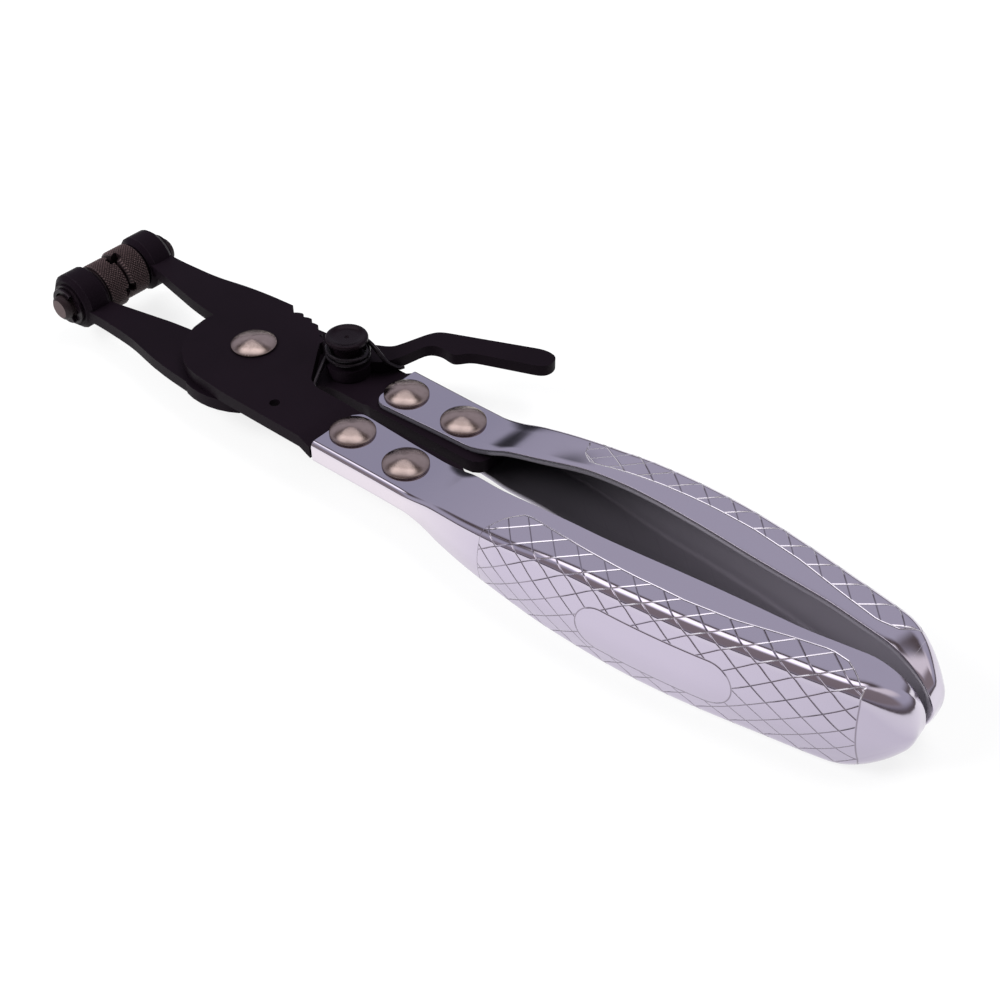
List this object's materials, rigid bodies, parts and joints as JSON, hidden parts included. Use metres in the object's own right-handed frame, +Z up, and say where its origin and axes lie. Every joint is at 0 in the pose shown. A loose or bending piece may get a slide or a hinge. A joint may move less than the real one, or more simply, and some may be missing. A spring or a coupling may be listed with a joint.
{
  "type": "hose clamp pliers",
  "caption": "Hand pliers with knurled swivel jaws for spring band hose clamps, a ratchet with a sprung release pawl, and pressed bright handles.",
  "frame": {"origin": "centre of the flat face of the pivot rivet's tail, under the tool", "axes": "+X from the pivot to the handle ends, +Y to the side with the release pawl, +Z up out of the rivet's head"},
  "size_m": [0.2252, 0.0603, 0.021],
  "materials": {
    "black_oxide": "satin black oxide on stamped steel",
    "jaw_steel": "dark brown-black, knurled and turned",
    "bright_plate": "bright plating with an engraved diamond pattern",
    "rivet_plate": "warm grey, spun rings",
    "spring_steel": "dark oiled wire"
  },
  "bodies": {
    "fixed_lever": {"lower_jaw_lever": "black_oxide", "lower_handle": "bright_plate", "lower_handle_front_rivet": "rivet_plate", "lower_handle_rear_rivet": "rivet_plate", "pivot_rivet": "rivet_plate", "pivot_washer": "black_oxide", "pawl_post": "black_oxide", "pawl_washer": "black_oxide", "pawl_spring": "spring_steel"},
    "moving_lever": {"upper_jaw_lever": "black_oxide", "upper_handle": "bright_plate", "upper_handle_front_rivet": "rivet_plate", "upper_handle_rear_rivet": "rivet_plate"},
    "lower_swivel": {"lower_swivel_jaw": "jaw_steel", "lower_jaw_washer": "black_oxide", "lower_jaw_clip": "jaw_steel"},
    "upper_swivel": {"upper_swivel_jaw": "jaw_steel", "upper_jaw_washer": "black_oxide", "upper_jaw_clip": "jaw_steel"},
    "pawl": {"ratchet_pawl": "black_oxide"}
  },
  "joints": [
    {"name": "jaw_opening", "type": "hinge", "parent": "fixed_lever", "child": "moving_lever", "pos_m": [0, 0, 0], "axis": [0, 0, -1], "range_deg": [0, 35]},
    {"name": "lower_jaw_swivel", "type": "hinge", "parent": "fixed_lever", "child": "lower_swivel", "pos_m": [-0.0495, -0.01, 0.0054], "axis": [0, 1, 0], "continuous": true},
    {"name": "upper_jaw_swivel", "type": "hinge", "parent": "moving_lever", "child": "upper_swivel", "pos_m": [-0.0495, 0.01, 0.0062], "axis": [0, 1, 0], "continuous": true},
    {"name": "pawl_release", "type": "hinge", "parent": "fixed_lever", "child": "pawl", "pos_m": [0.0206, 0.0095, 0.0054], "axis": [0, 0, -1], "range_deg": [0, 14], "stiffness_Nm_per_rad": 0.2, "springref_deg": -20.05, "deforming": ["pawl_spring"]}
  ]
}
